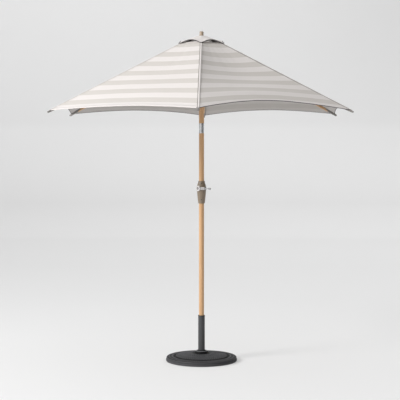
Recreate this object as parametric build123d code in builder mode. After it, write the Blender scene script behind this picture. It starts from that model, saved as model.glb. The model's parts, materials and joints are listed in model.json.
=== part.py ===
"""Free-standing patio umbrella: six folding ribs, tilting pole, crank lift and a round weighted base.
Millimetres. Origin on the floor at the pole's axis, +Z up, front towards -Y."""

import os
from math import acos, asin, atan2, cos, degrees, hypot, pi, radians, sin, sqrt

from build123d import *

os.makedirs("parts", exist_ok=True)

# ---------------------------------------------------------------- driving dimensions
pole_r, pole_bore_r = 19.0, 17.0
spigot_r = 16.95  # what slips inside the pole
fit = 0.05  # radial running clearance
soft_gap = 0.3  # canopy to anything that isn't its own rib

rib_count = 6
rib_azimuths = [-90 + 60 * i for i in range(rib_count)]
apex_z = 2434.0  # where the fabric's ridge lines meet on the pole axis
slope = radians(25.92)
rib_w, rib_d = 15.0, 18.0
rib_s0, rib_s1 = 78.0, 1348.0  # rib ends, measured down the ridge line from the apex
rib_top = -3.6  # the rib's flat top below the ridge line, where the cloth falls away to both sides
rib_under = rib_top - rib_d
taper_s, taper_t = 180.0, 9.0  # the inner end's top falls by taper_t, clear of the vent cap
tip_taper_s, tip_d = 1190.0, 9.0  # the outer end thins from below to tip_d, so its pocket stays slim
tip_under = rib_top - tip_d
fabric_t = 1.2
fabric_s0, fabric_s1 = 172.0, 1335.0
hem_rises = [130.0, 80.0, 80.0, 80.0, 80.0, 49.0]  # gore i lies between ribs i and i + 1

pivot_r, hub_pivot_z = 38.0, 2388.0
bracket_s, bracket_drop = 560.0, 32.5  # strut pivot under the rib
fold_deg = 57.6
pin_r, pin_hole_r, open_hole_r = 2.5, 2.53, 2.75

runner_gap = 0.35
tilt_z, tilt_az = 1730.0, 240.0
ferrule_z0, ferrule_z1 = 1693.0, 1767.0
housing_z0, housing_z1 = 1175.0, 1341.0
crank_z, crank_az = 1287.0, 228.0
pole_joint_z = 1190.0

base_r, base_top_z = 265.0, 60.0
tube_r, tube_bore_r, tube_top_z = 25.0, 23.0, 336.0
clamp_z = 290.0
cord_r = 1.25
pulley_az, pulley_z, pulley_cord_r = 60.0, 2340.0, 11.0


# ---------------------------------------------------------------- places
def half_plane(azimuth):
    """Upright plane through the pole axis: local x is outward at azimuth, local y is up."""
    a = radians(azimuth)
    return Plane(origin=(0, 0, 0), x_dir=(cos(a), sin(a), 0), z_dir=(sin(a), -cos(a), 0))


def down_rib(s, t=0.0):
    """(r, z) of a point s down the ridge line and t above it."""
    return (s * cos(slope) + t * sin(slope), apex_z - s * sin(slope) + t * cos(slope))


def along(azimuth, r, z):
    a = radians(azimuth)
    return (r * cos(a), r * sin(a), z)


def radial_plane(azimuth, r, z):
    """Plane at radius r whose normal points outward."""
    a = radians(azimuth)
    return Plane(origin=along(azimuth, r, z), x_dir=(0, 0, 1), z_dir=(cos(a), sin(a), 0))


hub_pivot = (pivot_r, hub_pivot_z)
pivot_s = pivot_r * cos(slope) + (apex_z - hub_pivot_z) * sin(slope)
pivot_t = pivot_r * sin(slope) - (apex_z - hub_pivot_z) * cos(slope)
bracket_pivot = down_rib(bracket_s, -bracket_drop)
strut_l = hypot(bracket_pivot[0] - pivot_r, hub_pivot_z - bracket_pivot[1])
runner_pivot = (pivot_r, 2 * bracket_pivot[1] - hub_pivot_z)  # the two links are equally long
runner_z = runner_pivot[1]

# ---------------------------------------------------------------- base
foot_t, foot_sink = 4.0, 2.0
with BuildPart() as base_feet:
    with PolarLocations(225, 6, start_angle=30):
        Cylinder(14, foot_t, align=(Align.CENTER, Align.CENTER, Align.MIN))

bolt_r, counterbore_r, counterbore_z = 6.0, 16.0, 16.0
rim_r = 261.0  # the upper lip, above a groove round the rim
disc_z = foot_t - foot_sink
with BuildPart() as base_disc:
    with BuildSketch(Plane.XZ):
        with BuildLine():
            Polyline(
                (bolt_r + 0.5, base_top_z), (bolt_r + 0.5, counterbore_z), (counterbore_r, counterbore_z),
                (counterbore_r, disc_z), (base_r - 3, disc_z), (base_r - 1, disc_z + 2),
            )
            ThreePointArc((base_r - 1, disc_z + 2), (base_r, 11), (base_r - 3, 19))
            Polyline((base_r - 3, 19), (rim_r - 4, 20.5), (rim_r - 4, 22.5), (rim_r, 23.5))
            ThreePointArc((rim_r, 23.5), (rim_r - 1.5, 29.5), (rim_r - 8, 33))
            Polyline((rim_r - 8, 33), (205, 36.5), (203, 34.5), (199, 34.5), (196.5, 38.5))
            ThreePointArc((196.5, 38.5), (128, 49.5), (55, base_top_z))
            Line((55, base_top_z), (bolt_r + 0.5, base_top_z))
        make_face()
    revolve(axis=Axis.Z)
    with PolarLocations(225, 6, start_angle=30):
        with Locations((0, 0, disc_z)):
            Cylinder(
                14, foot_sink, align=(Align.CENTER, Align.CENTER, Align.MIN), mode=Mode.SUBTRACT
            )

plate_r, plate_t = 44.0, 6.0
plate_z = base_top_z + plate_t
boss_r, boss_end, screw_r = 12.0, 39.0, 5.0
clamp_plane = Plane(origin=(0, 0, clamp_z), x_dir=(1, 0, 0), z_dir=(0, 1, 0))
with BuildPart() as base_tube:
    with BuildSketch(Plane.XZ):
        with BuildLine():
            Polyline(
                (bolt_r + 0.5, base_top_z), (plate_r, base_top_z), (plate_r, plate_z),
                (tube_r, plate_z), (tube_r, tube_top_z), (15, tube_top_z), (15, plate_z),
                (bolt_r + 0.5, plate_z), close=True,
            )
        make_face()
    revolve(axis=Axis.Z)
    with BuildSketch(clamp_plane.offset(16)):
        Circle(boss_r)
    extrude(amount=boss_end - 16)
    with Locations((0, 0, plate_z)):
        Cylinder(
            tube_bore_r, tube_top_z - plate_z, align=(Align.CENTER, Align.CENTER, Align.MIN),
            mode=Mode.SUBTRACT,
        )
    with BuildSketch(clamp_plane.offset(10)):
        Circle(screw_r + 0.03)
    extrude(amount=boss_end, mode=Mode.SUBTRACT)

with BuildPart() as base_collar:
    with BuildSketch(Plane.XZ):
        with BuildLine():
            Polyline((46, base_top_z), (49.5, base_top_z), (49.5, 67))
            ThreePointArc((49.5, 67), (46.5, 73.5), (38, 77))
            Polyline((38, 77), (35, 75), (32, 75))
            ThreePointArc((32, 75), (31, 79), (28, 82))
            Polyline((28, 82), (tube_r + fit, 82), (tube_r + fit, 68), (46, 68), (46, base_top_z))
        make_face()
    revolve(axis=Axis.Z)

washer_z, nut_z = plate_z, plate_z + 2.5
with BuildPart() as tube_bolt:  # bolt, washer and nut
    with BuildSketch(Plane.XY.offset(counterbore_z - 8)):
        RegularPolygon(9.5, 6, major_radius=False)
    extrude(amount=8)
    with BuildSketch(Plane.XY.offset(counterbore_z)):
        Circle(bolt_r)
    extrude(amount=nut_z + 11 - counterbore_z)
    with BuildSketch(Plane.XY.offset(washer_z)):
        Circle(14)
        Circle(bolt_r + 0.2, mode=Mode.SUBTRACT)
    extrude(amount=nut_z - washer_z)
    with BuildSketch(Plane.XY.offset(nut_z)):
        RegularPolygon(9.5, 6, major_radius=False)
    extrude(amount=9)

cup_floor_z = 88.0
with BuildPart() as pole_inserts:  # the foot cup and the reducing sleeve that centre the pole
    with BuildSketch(Plane.XZ):
        with BuildLine():
            Polyline(
                (0, cup_floor_z - 4), (15.5, cup_floor_z - 4), (15.5, plate_z), (22.95, plate_z),
                (22.95, 116), (pole_r + fit, 116), (pole_r + fit, cup_floor_z), (0, cup_floor_z),
                close=True,
            )
        make_face()
        with BuildLine():
            Polyline(
                (pole_r + fit, 216), (22.95, 216), (22.95, tube_top_z), (tube_r + 0.5, tube_top_z),
                (tube_r + 0.5, tube_top_z + 5), (pole_r + fit, tube_top_z + 5), close=True,
            )
        make_face()
    revolve(axis=Axis.Z)
    with BuildSketch(clamp_plane.offset(12)):
        Circle(5.5)
    extrude(amount=15, mode=Mode.SUBTRACT)

# ---------------------------------------------------------------- base clamp
pad_y0, pad_y1, spigot_y0 = 19.15, 22.0, 20.2
with BuildPart() as clamp_pad:
    with BuildSketch(clamp_plane.offset(pad_y0)):
        Circle(4.9)
    extrude(amount=pad_y1 - pad_y0)
    with BuildSketch(clamp_plane.offset(spigot_y0)):
        Circle(2.04)
    extrude(amount=pad_y1 - spigot_y0, mode=Mode.SUBTRACT)

with BuildPart() as clamp_screw:
    with BuildSketch(clamp_plane.offset(spigot_y0 + 0.05)):
        Circle(2.0)
    extrude(amount=pad_y1 + 0.1 - spigot_y0)
    with BuildSketch(clamp_plane.offset(pad_y1 + 0.05)):
        Circle(screw_r)
    extrude(amount=34)

knob_y0 = boss_end + 3.5
with BuildPart() as clamp_knob:
    with BuildSketch(clamp_plane.offset(knob_y0 + 2)):
        Circle(17)
        with PolarLocations(17, 5):
            Circle(6.5)
    extrude(amount=17)
    fillet(clamp_knob.faces().sort_by(Axis.Y)[-1].edges(), 2.5)
    with BuildSketch(clamp_plane.offset(knob_y0)):
        Circle(10)
    extrude(amount=3)
    with BuildSketch(clamp_plane.offset(knob_y0)):
        Circle(screw_r)
    extrude(amount=pad_y1 + 0.05 + 34 - knob_y0, mode=Mode.SUBTRACT)

# ---------------------------------------------------------------- lower pole and crank housing
swage_top_z = pole_joint_z + 60
with BuildPart() as lower_pole:
    with BuildSketch(Plane.XZ):
        with BuildLine():
            Polyline(
                (pole_bore_r, cup_floor_z + 0.05), (pole_r, cup_floor_z + 0.05), (pole_r, pole_joint_z),
                (spigot_r, pole_joint_z), (spigot_r, swage_top_z), (spigot_r - 2, swage_top_z),
                (spigot_r - 2, pole_joint_z - 2), (pole_bore_r, pole_joint_z - 6), close=True,
            )
        make_face()
    revolve(axis=Axis.Z)
    with BuildSketch(Plane.XZ.offset(-40)):
        with Locations((0, 1203)):
            Circle(1.75)
    extrude(amount=80, mode=Mode.SUBTRACT)

screw_zs = (1203.0, 1322.0)
screw_azimuths = (270.0, 90.0)
shaft_r, bushing_r = 4.0, 7.0
crank_plane = Plane(
    origin=(0, 0, crank_z),
    x_dir=along(crank_az + 90, 1, 0),  # along the arm at rest
    z_dir=along(crank_az, 1, 0),
)
with BuildPart() as middle_pole:
    with BuildSketch(Plane.XY.offset(pole_joint_z)):
        Circle(pole_r)
        Circle(pole_bore_r, mode=Mode.SUBTRACT)
    extrude(amount=ferrule_z0 - pole_joint_z)
    with BuildSketch(crank_plane.offset(-40)):
        Circle(bushing_r + 1)
    extrude(amount=80, mode=Mode.SUBTRACT)
    with BuildSketch(Plane.XZ.offset(-40)):
        with Locations(*[(0, z) for z in screw_zs]):
            Circle(1.75)
    extrude(amount=80, mode=Mode.SUBTRACT)

with BuildPart() as housing:
    with BuildSketch(Plane.XZ):
        with BuildLine():
            Polyline((pole_r, housing_z1), (22.0, housing_z1))
            Spline(
                (22.0, housing_z1), (24.6, 1334), (31.0, 1312), (34.3, 1290), (33.6, 1262),
                (29.4, 1220), (25.6, 1184), (22.5, housing_z0),
                tangents=((1, -0.3), (-1, -1)),
            )
            Polyline((22.5, housing_z0), (pole_r, housing_z0), (pole_r, housing_z1))
        make_face()
    revolve(axis=Axis.Z)
    with BuildSketch(crank_plane.offset(-60)):
        Circle(bushing_r)
    extrude(amount=120, mode=Mode.SUBTRACT)
    for azimuth in screw_azimuths:
        for z in screw_zs:
            with BuildSketch(radial_plane(azimuth, pole_r - 4, z)):
                Circle(1.75)
            extrude(amount=30, mode=Mode.SUBTRACT)
            with BuildSketch(radial_plane(azimuth, pole_r + 4.5, z)):
                Circle(3.5)
            extrude(amount=30, mode=Mode.SUBTRACT)

split_plane = Plane(origin=(0, 0, 0), z_dir=along(crank_az, 1, 0))
with BuildPart() as housing_front:
    add(housing.part)
    split(bisect_by=split_plane, keep=Keep.TOP)
with BuildPart() as housing_rear:
    add(housing.part)
    split(bisect_by=split_plane, keep=Keep.BOTTOM)

with BuildPart() as housing_screws:
    for azimuth in screw_azimuths:
        for z in screw_zs:
            inner = spigot_r - 3 if z < swage_top_z else pole_bore_r - 2
            with BuildSketch(radial_plane(azimuth, inner, z)):
                Circle(1.75)
            extrude(amount=pole_r + 4.5 - inner)
            with BuildSketch(radial_plane(azimuth, pole_r + 4.5, z)):
                Circle(3.2)
            extrude(amount=2.0)

bushing_in, bushing_out = 19.3, 33.0
with BuildPart() as shaft_bushings:
    for start in (bushing_in, -bushing_out):
        with BuildSketch(crank_plane.offset(start)):
            Circle(bushing_r)
            Circle(shaft_r + fit, mode=Mode.SUBTRACT)
        extrude(amount=bushing_out - bushing_in)

# ---------------------------------------------------------------- crank
flange_r, drum_r, drum_half = 14.2, 9.0, 7.0
arm_in, arm_out, arm_h = 35.8, 42.4, 21.0
hub_in, hub_out, recess_r = 34.6, 43.4, 13.0
hinge_l, arm_l = 78.0, 84.0
with BuildPart() as crank_spool:
    with BuildSketch(crank_plane.offset(-31)):
        Circle(shaft_r)
    extrude(amount=31 + hub_out - 1.0)
    for side in (-1, 1):
        with BuildSketch(crank_plane.offset(side * (drum_half + 0.75) - 0.75)):
            Circle(flange_r)
        extrude(amount=1.5)
    with BuildSketch(crank_plane.offset(-drum_half)):
        Circle(drum_r)
    extrude(amount=2 * drum_half)

wrap_r, wraps = 13.0, 5
with BuildPart() as cord_on_spool:
    with BuildSketch(Plane.XZ) as wrap_profile:
        with BuildLine():
            step = 2 * (drum_half - 0.1) / wraps
            edge = drum_half - 0.1
            Line((drum_r, -edge), (wrap_r - 1, -edge))
            for i in range(wraps):
                z0 = -edge + i * step
                ThreePointArc((wrap_r - 1, z0), (wrap_r, z0 + step / 2), (wrap_r - 1, z0 + step))
            Line((wrap_r - 1, edge), (drum_r, edge))
            Line((drum_r, edge), (drum_r, -edge))
        make_face()
    revolve(axis=Axis.Z)
cord_on_spool.part = crank_plane.location * cord_on_spool.part

with BuildPart() as crank_arm:
    with BuildSketch(crank_plane.offset(hub_in)):
        Circle(20.5)
        Circle(shaft_r, mode=Mode.SUBTRACT)
    extrude(amount=hub_out - hub_in)
    fillet(crank_arm.edges().filter_by(GeomType.CIRCLE).group_by(SortBy.RADIUS)[-1], 1.5)
    with BuildSketch(crank_plane.offset(arm_in)):
        with Locations((arm_l / 2, 0)):
            RectangleRounded(arm_l + 1, arm_h, 7)
        Circle(shaft_r, mode=Mode.SUBTRACT)
    extrude(amount=arm_out - arm_in)
    with BuildSketch(crank_plane.offset(arm_in - 1)):
        with Locations((arm_l, 0)):
            Rectangle(2 * (arm_l - hinge_l) + 10, 10.6)
    extrude(amount=arm_out - arm_in + 2, mode=Mode.SUBTRACT)
    hinge_plane = Plane(
        origin=crank_plane.from_local_coords((hinge_l, 0, (arm_in + arm_out) / 2)),
        x_dir=crank_plane.x_dir, z_dir=(0, 0, 1),
    )
    with BuildSketch(hinge_plane.offset(-arm_h / 2)):
        Circle(1.5)
    extrude(amount=arm_h)
    with BuildSketch(crank_plane.offset(hub_out - 2.6)):  # the face is recessed round the shaft's end
        Circle(recess_r)
        Circle(shaft_r + 2.5, mode=Mode.SUBTRACT)
    extrude(amount=5, mode=Mode.SUBTRACT)

knob_r, knob_start, knob_l = 7.2, 22.0, 26.0
with BuildPart() as knob_stem:
    with BuildSketch(hinge_plane.offset(-5)):
        Circle(4)
        Circle(1.55, mode=Mode.SUBTRACT)
    extrude(amount=10)
    stem_plane = Plane(origin=hinge_plane.origin, x_dir=(0, 0, 1), z_dir=crank_plane.x_dir)
    with BuildSketch(stem_plane.offset(3)):
        Circle(2.5)
    extrude(amount=knob_start + knob_l - 9)

with BuildPart() as crank_knob:
    with BuildSketch(stem_plane.offset(knob_start)):
        Circle(knob_r)
    extrude(amount=knob_l)
    fillet(crank_knob.edges().filter_by(GeomType.CIRCLE), 2.5)
    with BuildSketch(stem_plane.offset(knob_start - 1)):
        Circle(2.5 + fit)
    extrude(amount=knob_l - 4, mode=Mode.SUBTRACT)

# ---------------------------------------------------------------- tilt joint
tilt_axis_plane = Plane(origin=(0, 0, tilt_z), x_dir=(0, 0, 1), z_dir=along(tilt_az + 90, 1, 0))
tongue_half, cheek_half, head_r = 9.0, 9.05, 19.0
stub_in, stub_r, cord_hole_r = 4.5, 4.0, 3.5


def pin_disc(half, radius):
    """Disc about the tilt pin, half its thickness each side of the pole axis."""
    with BuildPart() as disc:
        with BuildSketch(tilt_axis_plane.offset(-half)):
            Circle(radius)
        extrude(amount=2 * half)
    return disc.part


with BuildPart() as slot_block:
    with BuildSketch(tilt_axis_plane.offset(-cheek_half)):
        with Locations((14, 0)):
            Rectangle(52, 60)  # from 12 below the pin upward
        Circle(head_r + 0.35)
    extrude(amount=2 * cheek_half)

with BuildPart() as cheeks:
    with BuildSketch(Plane.XY.offset(ferrule_z0)):
        Circle(pole_r)
    extrude(amount=tilt_z + head_r - ferrule_z0)
    add(pin_disc(30, head_r), mode=Mode.INTERSECT)

with BuildPart() as tilt_socket:
    with BuildSketch(Plane.XY.offset(ferrule_z0)):
        Circle(pole_r)
    extrude(amount=tilt_z - ferrule_z0)
    add(cheeks.part)
    add(slot_block.part, mode=Mode.SUBTRACT)
    with BuildSketch(Plane.XY.offset(ferrule_z0 - 38)):
        Circle(spigot_r)
    extrude(amount=38)
    with BuildSketch(Plane.XY.offset(ferrule_z0 - 39)):
        Circle(10)
    extrude(amount=tilt_z - head_r - ferrule_z0 + 42, mode=Mode.SUBTRACT)
    with BuildSketch(tilt_axis_plane.offset(-30)):
        Circle(stub_r)
    extrude(amount=60, mode=Mode.SUBTRACT)
    with BuildSketch(radial_plane(90, 8, 1702)):
        Circle(3.5 + fit)
    extrude(amount=20, mode=Mode.SUBTRACT)
    with BuildSketch(radial_plane(90, 14, 1702)):
        Circle(5 + fit)
    extrude(amount=20, mode=Mode.SUBTRACT)

with BuildPart() as tilt_pins:
    for start in (stub_in, -18.3):
        with BuildSketch(tilt_axis_plane.offset(start)):
            Circle(stub_r)
        extrude(amount=18.3 - stub_in)
    with BuildSketch(Plane.XY.offset(tilt_z - 6)):
        Circle(pole_r)
    extrude(amount=12, mode=Mode.INTERSECT)

with BuildPart() as head_cuts:
    for side in (-1, 1):  # beside the tongue: clear of the cheeks and of all below the pin
        with BuildSketch(tilt_axis_plane.offset(side * 19.5 - 10.5)):
            with Locations((-20, 0)):
                Rectangle(40, 60)
            Circle(head_r + 0.35)
        extrude(amount=21)
    with BuildSketch(tilt_axis_plane.offset(-30)):  # below the pin the tongue is round
        with Locations((-20, 0)):
            Rectangle(40, 60)
        Circle(head_r, mode=Mode.SUBTRACT)
    extrude(amount=60)

with BuildPart() as tilt_head:
    with BuildSketch(Plane.XY.offset(tilt_z - head_r)):
        Circle(pole_r)
    extrude(amount=ferrule_z1 - tilt_z + head_r)
    add(head_cuts.part, mode=Mode.SUBTRACT)
    with BuildSketch(Plane.XY.offset(ferrule_z1)):
        Circle(spigot_r)
    extrude(amount=36)
    with BuildSketch(Plane.XY.offset(tilt_z - 30)):
        Circle(cord_hole_r)
    extrude(amount=120, mode=Mode.SUBTRACT)
    with BuildSketch(Plane.XY.offset(ferrule_z1 - 6)):
        Circle(13)
    extrude(amount=60, mode=Mode.SUBTRACT)
    with BuildSketch(tilt_axis_plane.offset(-12)):
        Circle(stub_r + fit)
    extrude(amount=24, mode=Mode.SUBTRACT)
    with BuildSketch(Plane.XZ):  # the mouth that lets the cord bend as the head tilts
        with BuildLine():
            Polyline((0, tilt_z), (cord_hole_r, tilt_z - 3), (14, tilt_z - head_r - 1),
                     (0, tilt_z - head_r - 1), close=True)
        make_face()
    revolve(axis=Axis.Z, mode=Mode.SUBTRACT)

with BuildPart() as tilt_button:
    with BuildSketch(radial_plane(90, 9, 1702)):
        Circle(3.5)
    extrude(amount=8)
    with BuildSketch(radial_plane(90, 16.8, 1702)):
        Circle(5)
    extrude(amount=5.4)
    fillet(tilt_button.faces().sort_by(Axis.Y)[-1].edges(), 0.8)

cord_low = crank_plane.from_local_coords((wrap_r + 0.3 + cord_r, 0, 0))
with BuildPart() as lift_cord_lower:
    with BuildLine() as cord_line:
        Line((cord_low.X, cord_low.Y, crank_z), (0, 0, 1706))
    with BuildSketch(Plane(origin=cord_line.line @ 0, z_dir=cord_line.line % 0)):
        Circle(cord_r)
    sweep()

# ---------------------------------------------------------------- upper pole, hub and top
hub_r, hub_z0, hub_z1, slot_top_z = 47.0, 2374.0, 2403.5, 2397.5
pole_top_z = 2392.0
with BuildPart() as upper_pole:
    with BuildSketch(Plane.XY.offset(ferrule_z1)):
        Circle(pole_r)
        Circle(pole_bore_r, mode=Mode.SUBTRACT)
    extrude(amount=pole_top_z - ferrule_z1)
    with BuildSketch(radial_plane(pulley_az, 8, pulley_z)):
        SlotCenterToCenter(22, 8.5)
    extrude(amount=16, mode=Mode.SUBTRACT)
    with BuildSketch(half_plane(pulley_az).offset(-30)):
        with Locations((pulley_cord_r, pulley_z)):
            Circle(2.0)
    extrude(amount=60, mode=Mode.SUBTRACT)

tongue_w, slot_w = 12.0, 12.5
with BuildPart() as top_hub:
    with BuildSketch(Plane.XY.offset(hub_z0)):
        Circle(hub_r)
        Circle(pole_r, mode=Mode.SUBTRACT)
    extrude(amount=pole_top_z - hub_z0)
    with BuildSketch(Plane.XZ):  # its top falls away with the vent cap
        with BuildLine():
            Polyline((4, pole_top_z), (hub_r, pole_top_z), (hub_r, slot_top_z - 0.5),
                     (hub_r - 9, hub_z1), (4, hub_z1), close=True)
        make_face()
    revolve(axis=Axis.Z)
    for azimuth in rib_azimuths:
        plane = half_plane(azimuth)
        with BuildSketch(plane.offset(-slot_w / 2)):
            with Locations(((28 + hub_r + 10) / 2, (hub_z0 - 5 + slot_top_z) / 2)):
                Rectangle(hub_r + 10 - 28, slot_top_z - hub_z0 + 5)
        extrude(amount=slot_w, mode=Mode.SUBTRACT)
        with BuildSketch(plane.offset(-11)):
            with Locations(hub_pivot):
                Circle(pin_r)
        extrude(amount=22, mode=Mode.SUBTRACT)

with BuildPart() as hub_pins:
    for azimuth in rib_azimuths:
        with BuildSketch(half_plane(azimuth).offset(-11)):
            with Locations(hub_pivot):
                Circle(pin_r)
        extrude(amount=22)

vent_top_r, vent_tip_r = 46.0, 192.0
vent_top_z = hub_z1 + soft_gap + fabric_t
vent_tip_z = down_rib(vent_tip_r / cos(slope))[1] + 5.2
collar_r, finial_z = 10.0, hub_z1 + 7.5


def gore_plane(azimuth, inner, outer):
    """Plane through both ribs' lines at azimuth and azimuth + 60, each line through two (r, z) points.
    Its local x runs down the middle of the gore and its normal points up."""
    c = cos(radians(30))
    run, drop = (outer[0] - inner[0]) * c, inner[1] - outer[1]
    a, length = radians(azimuth + 30), hypot(run, drop)
    x_dir = (run * cos(a) / length, run * sin(a) / length, -drop / length)
    z_dir = (drop * cos(a) / length, drop * sin(a) / length, run / length)
    return Plane(origin=along(azimuth + 30, inner[0] * c, inner[1]), x_dir=x_dir, z_dir=z_dir)


with BuildPart() as vent_cap:
    for azimuth in rib_azimuths:
        plane = gore_plane(azimuth, (vent_top_r, vent_top_z), (vent_tip_r, vent_tip_z))
        reach = hypot((vent_tip_r - vent_top_r) * cos(radians(30)), vent_top_z - vent_tip_z)
        with BuildSketch(plane):
            with BuildLine():
                half_in, half_out = vent_top_r / 2, vent_tip_r / 2
                Polyline((reach, -half_out), (0, -half_in), (0, half_in), (reach, half_out))
                ThreePointArc((reach, half_out), (reach - 15, 0), (reach, -half_out))
            make_face()
        extrude(amount=-fabric_t)
    for azimuth in rib_azimuths:  # a low peak up to the finial
        plane = gore_plane(azimuth, (collar_r + 3, finial_z), (vent_top_r, vent_top_z))
        reach = hypot((vent_top_r - collar_r - 3) * cos(radians(30)), finial_z - vent_top_z)
        with BuildSketch(plane):
            with BuildLine():
                half_in, half_out = (collar_r + 3) / 2, vent_top_r / 2
                Polyline((reach, -half_out), (0, -half_in), (0, half_in), (reach, half_out), close=True)
            make_face()
        extrude(amount=-fabric_t)

finial_top_z = 2443.0
with BuildPart() as finial:
    with BuildSketch(Plane.XZ):
        with BuildLine():
            Polyline((0, pole_top_z + 1), (4, pole_top_z + 1), (4, hub_z1), (collar_r, hub_z1),
                     (collar_r, finial_z + 0.3), (15.5, finial_z + 0.3), (16.2, finial_z + 2.5))
            Spline((16.2, finial_z + 2.5), (14.6, finial_z + 9), (14.0, finial_z + 18),
                   (14.5, finial_z + 25), (11.5, finial_z + 30.5), (0, finial_top_z),
                   tangents=((-0.3, 1), (-1, 0)))
            Line((0, finial_top_z), (0, pole_top_z + 1))
        make_face()
    revolve(axis=Axis.Z)

with BuildPart() as pulley_axle:
    with BuildSketch(half_plane(pulley_az).offset(-15)):
        with Locations((pulley_cord_r, pulley_z)):
            Circle(2.0)
    extrude(amount=30)

with BuildPart() as pulley:
    with BuildSketch(half_plane(pulley_az).offset(-3)):
        with Locations((pulley_cord_r, pulley_z)):
            Circle(12.5)
            Circle(2.0 + fit, mode=Mode.SUBTRACT)
    extrude(amount=6)
    with BuildSketch(half_plane(pulley_az).offset(-1.6)):
        with Locations((pulley_cord_r, pulley_z)):
            Circle(14)
            Circle(pulley_cord_r - cord_r - 0.25, mode=Mode.SUBTRACT)
    extrude(amount=3.2, mode=Mode.SUBTRACT)

wrap_plane = half_plane(pulley_az)
cord_out = 2 * pulley_cord_r
with BuildPart() as lift_cord_upper:
    with BuildLine(wrap_plane) as upper_line:
        Line((0, tilt_z - 2), (0, pulley_z))
        ThreePointArc((0, pulley_z), (pulley_cord_r, pulley_z + pulley_cord_r), (cord_out, pulley_z))
    with BuildSketch(Plane.XY.offset(tilt_z - 2)):
        Circle(cord_r)
    sweep(path=upper_line.wire())

# ---------------------------------------------------------------- runner
runner_z0, runner_z1 = runner_z - 22, runner_z + 26
with BuildPart() as runner:
    with BuildSketch(Plane.XZ):
        with BuildLine():
            Polyline(
                (pole_r + runner_gap, runner_z0), (42, runner_z0), (46, runner_z0 + 4),
                (46, runner_z + 9), (28, runner_z + 13), (27, runner_z1), (pole_r + runner_gap, runner_z1),
                close=True,
            )
        make_face()
    revolve(axis=Axis.Z)
    for azimuth in rib_azimuths:
        plane = half_plane(azimuth)
        with BuildSketch(plane.offset(-slot_w / 2)):
            with Locations((29 + 20, runner_z - 8.5 + 20)):
                Rectangle(40, 40)
        extrude(amount=slot_w, mode=Mode.SUBTRACT)
        with BuildSketch(plane.offset(-11)):
            with Locations(runner_pivot):
                Circle(pin_r)
        extrude(amount=22, mode=Mode.SUBTRACT)

with BuildPart() as runner_pins:
    for azimuth in rib_azimuths:
        with BuildSketch(half_plane(azimuth).offset(-11)):
            with Locations(runner_pivot):
                Circle(pin_r)
        extrude(amount=22)

with BuildPart() as lift_cord_run:
    with BuildSketch(Plane(origin=along(pulley_az, cord_out, runner_z + 12))):
        Circle(cord_r)
    extrude(amount=pulley_z - 1 - runner_z - 12)
with BuildPart() as runner_bored:
    add(runner.part)
    with BuildSketch(Plane(origin=along(pulley_az, cord_out, runner_z + 12))):
        Circle(cord_r)
    extrude(amount=40, mode=Mode.SUBTRACT)

# ---------------------------------------------------------------- ribs, struts and canopy
half_gore = asin(cos(slope) * sin(radians(30)))  # in the fabric's plane, rib to mid-gore


def rib_solid(azimuth):
    with BuildPart() as part:
        with BuildSketch(half_plane(azimuth)):
            with BuildLine():
                Polyline(
                    down_rib(rib_s0, rib_top - taper_t), down_rib(taper_s, rib_top),
                    down_rib(rib_s1, rib_top), down_rib(rib_s1, tip_under),
                    down_rib(tip_taper_s, rib_under), down_rib(rib_s0, rib_under), close=True,
                )
            make_face()
        extrude(amount=rib_w / 2, both=True)
        fillet(part.edges().sort_by(SortBy.LENGTH)[-4:], 1.5)
    return part


def plates(plane, points, half_in, half_out):
    """The same flat plate on both sides of the rib, from half_in to half_out off its middle."""
    with BuildPart() as pair:
        for start in (half_in, -half_out):
            with BuildSketch(plane.offset(start)):
                with BuildLine():
                    Polyline(*points, close=True)
                make_face()
            extrude(amount=half_out - half_in)
    return pair.part


def fittings_solid(azimuth):
    """Inner knuckle, strut bracket with its pin, and the tip cap."""
    plane, side = half_plane(azimuth), rib_w / 2
    under = rib_under
    with BuildPart() as part:
        with BuildSketch(plane.offset(-tongue_w / 2)):
            with Locations(hub_pivot):
                Circle(8)
            with BuildLine():
                Polyline(
                    down_rib(pivot_s, pivot_t + 8), down_rib(rib_s0, rib_top - taper_t),
                    down_rib(rib_s0, under - 4), down_rib(pivot_s, pivot_t - 8), close=True,
                )
            make_face()
            with Locations(hub_pivot):
                Circle(pin_hole_r, mode=Mode.SUBTRACT)
        extrude(amount=tongue_w)
        add(plates(plane, [down_rib(73, -16), down_rib(106, -11), down_rib(106, under - 2),
                           down_rib(73, under - 4)], side, side + 2))
        with BuildSketch(plane.offset(-side)):
            with BuildLine():
                Polyline(down_rib(73, -16), down_rib(rib_s0, -16), down_rib(rib_s0, under),
                         down_rib(106, under), down_rib(106, under - 2), down_rib(73, under - 4),
                         close=True)
            make_face()
        extrude(amount=2 * side)
        s, drop = bracket_s, bracket_drop
        cheek = [(-26, -7.5), (26, -7.5), (26, under - 2), (8, -drop - 5), (4, -drop - 8),
                 (-4, -drop - 8), (-8, -drop - 5), (-26, under - 2)]
        add(plates(plane, [down_rib(s + ds, t) for ds, t in cheek], side, side + 2.5))
        with BuildSketch(plane.offset(-side)):
            with BuildLine():
                Polyline(down_rib(s - 26, under), down_rib(s + 26, under), down_rib(s + 26, under - 2),
                         down_rib(s - 26, under - 2), close=True)
            make_face()
        extrude(amount=2 * side)
        with BuildSketch(plane.offset(-side - 3.5)):
            with Locations(bracket_pivot):
                Circle(pin_r)
        extrude(amount=2 * side + 7)
        with BuildSketch(plane.offset(-side - 1)):
            with BuildLine():
                Polyline(down_rib(1337, rib_top + 1), down_rib(1351, rib_top + 1),
                         down_rib(1351, tip_under - 1), down_rib(1337, tip_under - 1.9), close=True)
            make_face()
        extrude(amount=2 * side + 2)
        add(rib_solid(azimuth).part, mode=Mode.SUBTRACT)
    return part


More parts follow.
